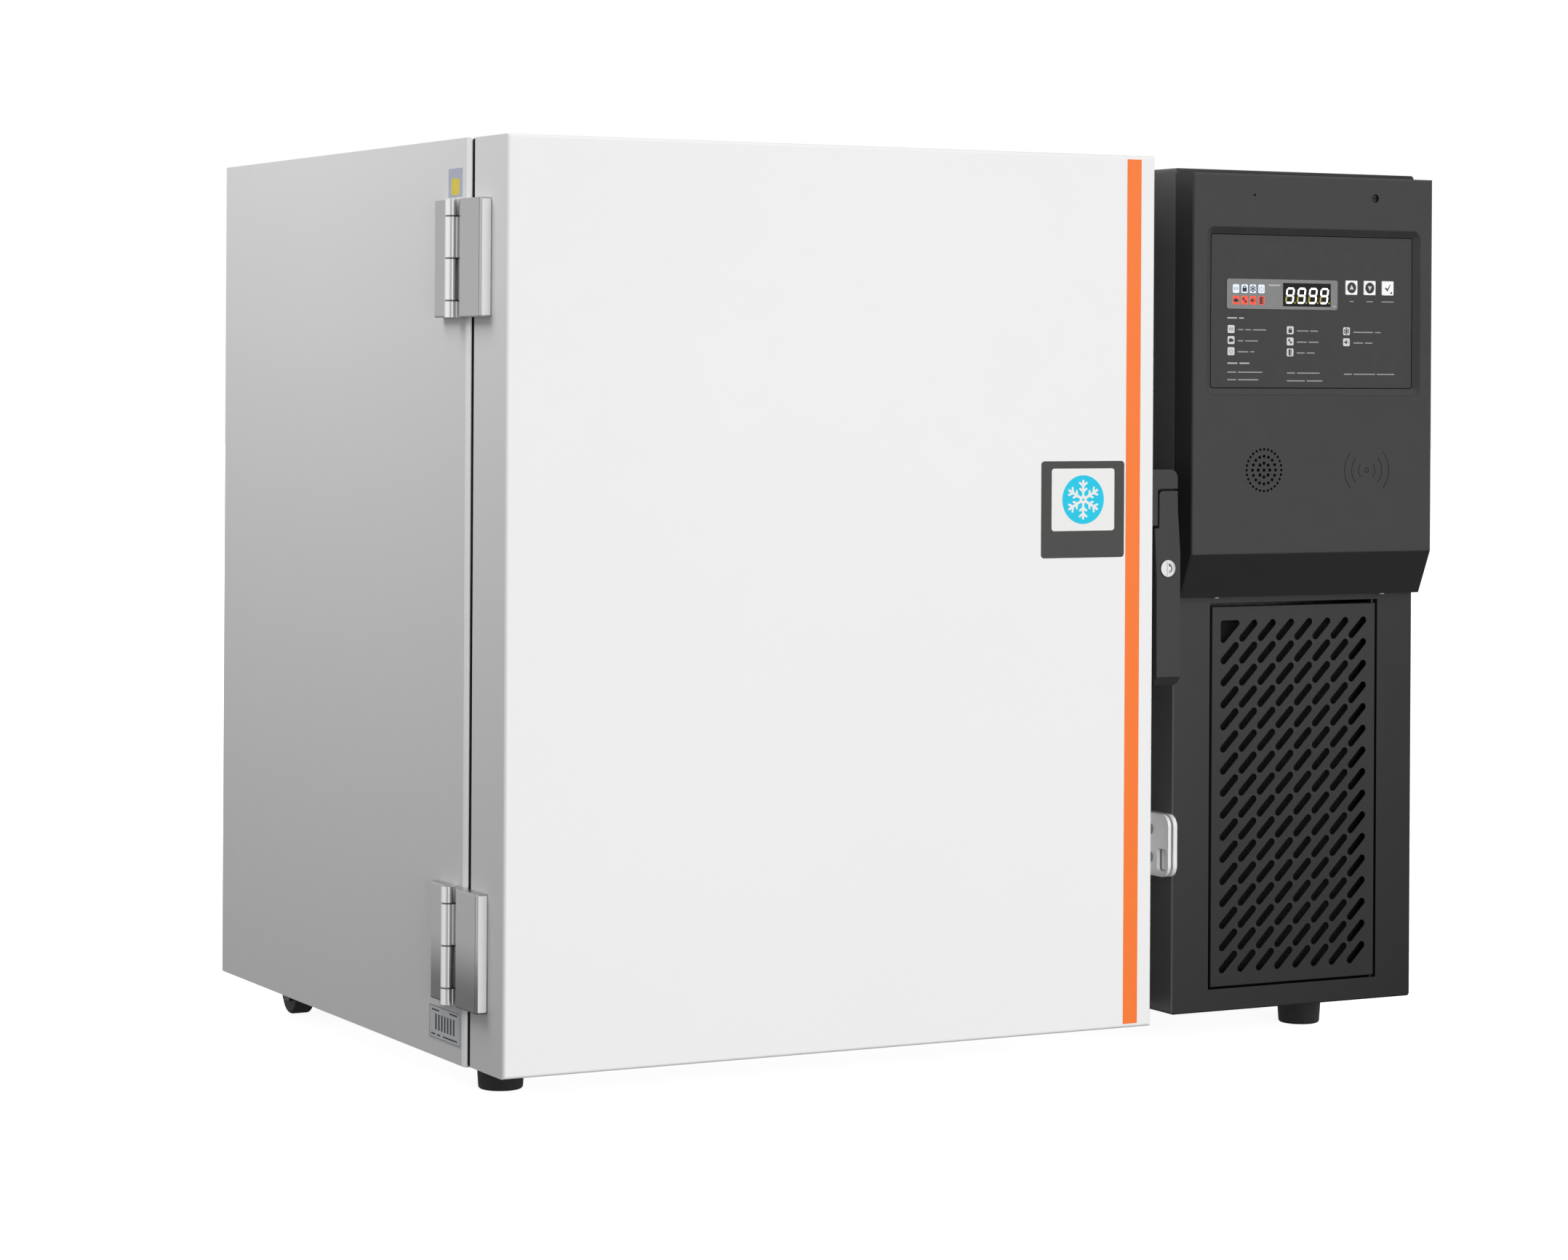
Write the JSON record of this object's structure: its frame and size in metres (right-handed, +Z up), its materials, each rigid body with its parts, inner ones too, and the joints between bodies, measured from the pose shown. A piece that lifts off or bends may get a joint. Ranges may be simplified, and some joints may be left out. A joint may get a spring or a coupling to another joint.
{
  "type": "countertop laboratory freezer",
  "caption": "Countertop low-temperature laboratory freezer: insulated cabinet with a side-hinged door and latch, beside a vented machine compartment with a control panel.",
  "frame": {"origin": "centre of the footprint, on the floor under the feet", "axes": "+X to the right seen from the front, +Y to the rear (the door faces -Y), +Z up"},
  "size_m": [0.9802, 0.6756, 0.8128],
  "materials": {
    "white_paint": "satin",
    "black_paint": "matte",
    "zinc_steel": "satin",
    "stainless": "satin",
    "foam": "matte",
    "white_plastic": "satin",
    "grey_rubber": "matte",
    "black_rubber": "matte",
    "black_plastic": "satin",
    "panel_film": "satin",
    "display_grey": "satin",
    "lamp_lens": "satin",
    "key_plastic": "satin",
    "circuit_board": "satin",
    "copper": "satin",
    "compressor_black": "satin",
    "fin_aluminium": "satin",
    "lock_chrome": "polished",
    "filter_mesh": "matte",
    "screw_steel": "satin"
  },
  "bodies": {
    "cabinet": {"cabinet_shell": "white_paint", "cabinet_rear_panel": "white_paint", "breaker_frame": "white_plastic", "chamber_liner": "stainless", "evaporator_coil": "copper", "cabinet_foam": "foam", "shelf_supports": "stainless", "shelves": "stainless", "inner_door_brackets": "stainless", "hinge_cabinet_leaves": "stainless", "hinge_pins": "stainless", "latch_strike": "stainless", "hasp_machine_plate": "zinc_steel", "machine_front_frame": "black_paint", "machine_wrap": "black_paint", "machine_rear_panel": "black_paint", "bridge_cover": "black_paint", "base_frame": "black_paint", "air_filter": "filter_mesh", "control_housing": "black_plastic", "control_panel": "panel_film", "display_module": "display_grey", "status_lamps": "lamp_lens", "control_board": "circuit_board", "alarm_sounder": "black_plastic", "usb_socket": "screw_steel", "housing_screws": "screw_steel", "condenser": "fin_aluminium", "fan_shroud": "black_plastic", "fan_motor": "black_plastic", "compressor_high_stage": "compressor_black", "compressor_low_stage": "compressor_black", "cascade_exchanger": "foam", "refrigerant_lines": "copper", "relay_box": "display_grey", "power_inlet": "black_plastic", "power_switch_body": "black_plastic", "wheel_brackets": "zinc_steel"},
    "main_door": {"door_skin": "white_paint", "door_foam": "foam", "door_inner_panel": "white_plastic", "door_gasket": "grey_rubber", "hinge_door_leaves": "stainless", "latch_base": "black_paint", "latch_pivot_pin": "stainless", "hasp_door_arm": "zinc_steel"},
    "latch_handle": {"latch_lever": "black_paint"},
    "door_lock": {"lock_cylinder": "lock_chrome"},
    "upper_inner_door": {"inner_door_upper": "white_plastic"},
    "lower_inner_door": {"inner_door_lower": "white_plastic"},
    "grille": {"intake_grille": "black_paint"},
    "up_key": {"key_up": "key_plastic"},
    "down_key": {"key_down": "key_plastic"},
    "set_key": {"key_set": "key_plastic"},
    "fan": {"condenser_fan": "black_plastic"},
    "mains_rocker": {"power_switch_rocker": "black_plastic"},
    "left_foot": {"levelling_foot_left": "black_rubber"},
    "right_foot": {"levelling_foot_right": "black_rubber"},
    "left_wheel": {"rear_wheel_left": "black_rubber"},
    "right_wheel": {"rear_wheel_right": "black_rubber"}
  },
  "joints": [
    {"name": "door_hinge", "type": "hinge", "parent": "cabinet", "child": "main_door", "pos_m": [-0.4841, -0.2428, 0.422], "axis": [0, 0, -1], "range_deg": [0, 120]},
    {"name": "latch_pivot", "type": "hinge", "parent": "main_door", "child": "latch_handle", "pos_m": [0.1909, -0.2968, 0.494], "axis": [-1, 0, 0], "range_deg": [0, 70]},
    {"name": "lock_turn", "type": "hinge", "parent": "latch_handle", "child": "door_lock", "pos_m": [0.1899, -0.2968, 0.4429], "axis": [0, 1, 0], "range_deg": [0, 90]},
    {"name": "upper_inner_hinge", "type": "hinge", "parent": "cabinet", "child": "upper_inner_door", "pos_m": [-0.3781, -0.2418, 0.56], "axis": [0, 0, -1], "range_deg": [0, 90]},
    {"name": "lower_inner_hinge", "type": "hinge", "parent": "cabinet", "child": "lower_inner_door", "pos_m": [-0.3781, -0.2418, 0.285], "axis": [0, 0, -1], "range_deg": [0, 90]},
    {"name": "grille_hinge", "type": "hinge", "parent": "cabinet", "child": "grille", "pos_m": [0.4461, -0.262, 0.229], "axis": [0, 0, 1], "range_deg": [0, 100]},
    {"name": "up_key_press", "type": "slide", "parent": "cabinet", "child": "up_key", "axis": [0, 1, 0], "range_m": [0, 0.0006], "stiffness_N_per_m": 1500, "springref_m": -0.0005},
    {"name": "down_key_press", "type": "slide", "parent": "cabinet", "child": "down_key", "axis": [0, 1, 0], "range_m": [0, 0.0006], "stiffness_N_per_m": 1500, "springref_m": -0.0005},
    {"name": "set_key_press", "type": "slide", "parent": "cabinet", "child": "set_key", "axis": [0, 1, 0], "range_m": [0, 0.0006], "stiffness_N_per_m": 1500, "springref_m": -0.0005},
    {"name": "fan_spin", "type": "hinge", "parent": "cabinet", "child": "fan", "pos_m": [0.3559, -0.1668, 0.23], "axis": [0, 1, 0], "continuous": true},
    {"name": "mains_rocker_tilt", "type": "hinge", "parent": "cabinet", "child": "mains_rocker", "pos_m": [0.4249, 0.3282, 0.611], "axis": [0, 0, 1], "range_deg": [0, 14]},
    {"name": "left_foot_turn", "type": "hinge", "parent": "cabinet", "child": "left_foot", "pos_m": [-0.4051, -0.1738, 0.02], "axis": [0, 0, 1], "continuous": true},
    {"name": "right_foot_turn", "type": "hinge", "parent": "cabinet", "child": "right_foot", "pos_m": [0.4219, -0.1818, 0.02], "axis": [0, 0, 1], "continuous": true},
    {"name": "left_wheel_roll", "type": "hinge", "parent": "cabinet", "child": "left_wheel", "pos_m": [-0.4191, 0.2782, 0.02], "axis": [1, 0, 0], "continuous": true},
    {"name": "right_wheel_roll", "type": "hinge", "parent": "cabinet", "child": "right_wheel", "pos_m": [0.4339, 0.2782, 0.02], "axis": [1, 0, 0], "continuous": true}
  ],
  "couplings": [
    {"joint": "upper_inner_hinge", "follows": "door_hinge", "ratio": 0.75},
    {"joint": "lower_inner_hinge", "follows": "door_hinge", "ratio": 0.75}
  ]
}
